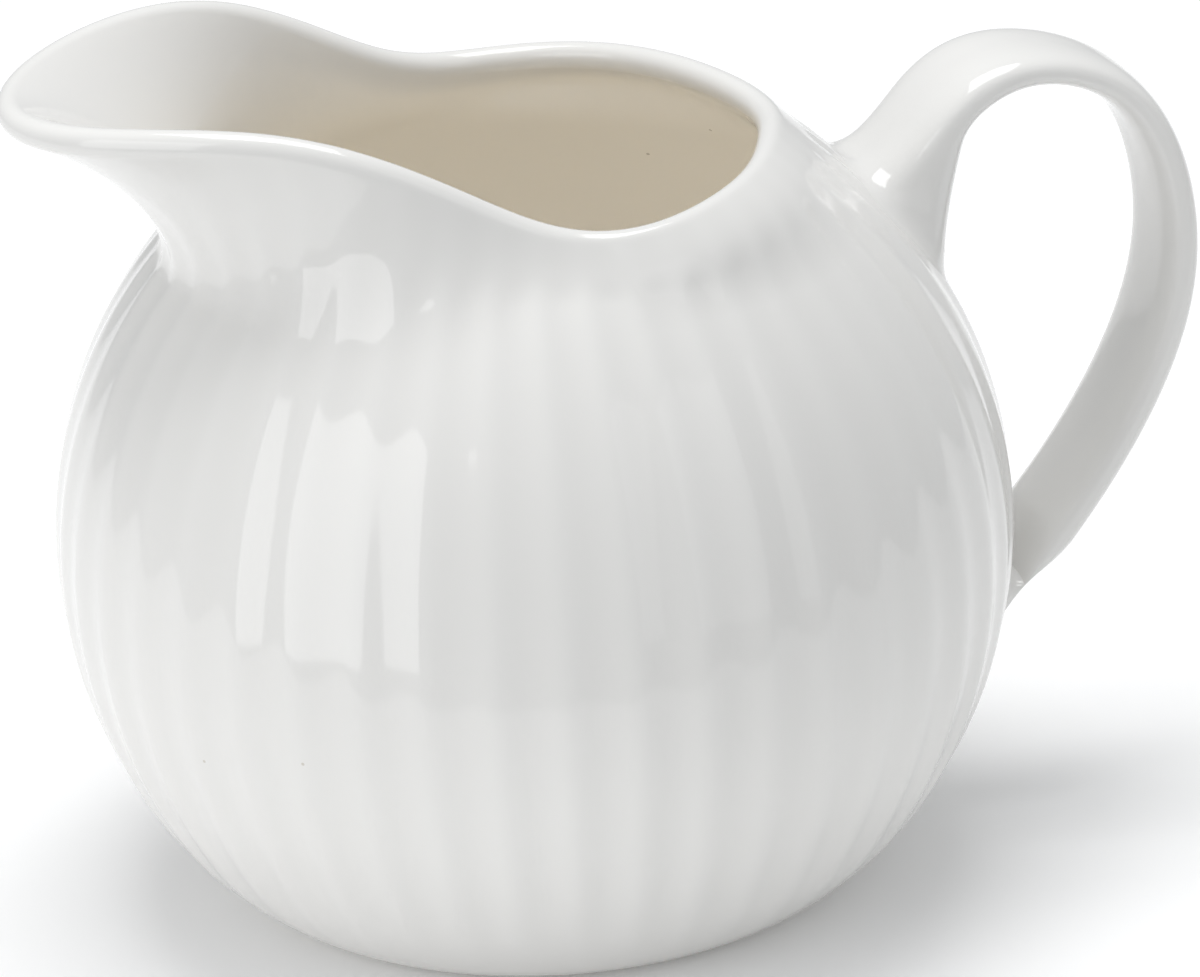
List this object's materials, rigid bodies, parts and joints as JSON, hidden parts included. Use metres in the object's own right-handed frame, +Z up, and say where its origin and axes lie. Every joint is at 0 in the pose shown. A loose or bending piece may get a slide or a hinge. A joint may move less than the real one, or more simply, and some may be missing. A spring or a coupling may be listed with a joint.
{
  "type": "ceramic pitcher",
  "caption": "Small ball-shaped glazed jug with shallow vertical flutes, a wide beak spout and a strap handle, for pouring milk or cream.",
  "frame": {"origin": "centre of the foot ring, on the standing face", "axes": "+Z up, -X towards the tip of the spout, +X towards the handle; XZ is the plane of symmetry"},
  "size_m": [0.1259, 0.0998, 0.0935],
  "materials": {
    "glazed_body": "gloss",
    "glazed_handle": "gloss",
    "glazed_slip": "gloss"
  },
  "bodies": {
    "root": {"body": "glazed_body", "handle": "glazed_handle", "upper_slip_joint": "glazed_slip", "lower_slip_joint": "glazed_slip"}
  },
  "joints": []
}
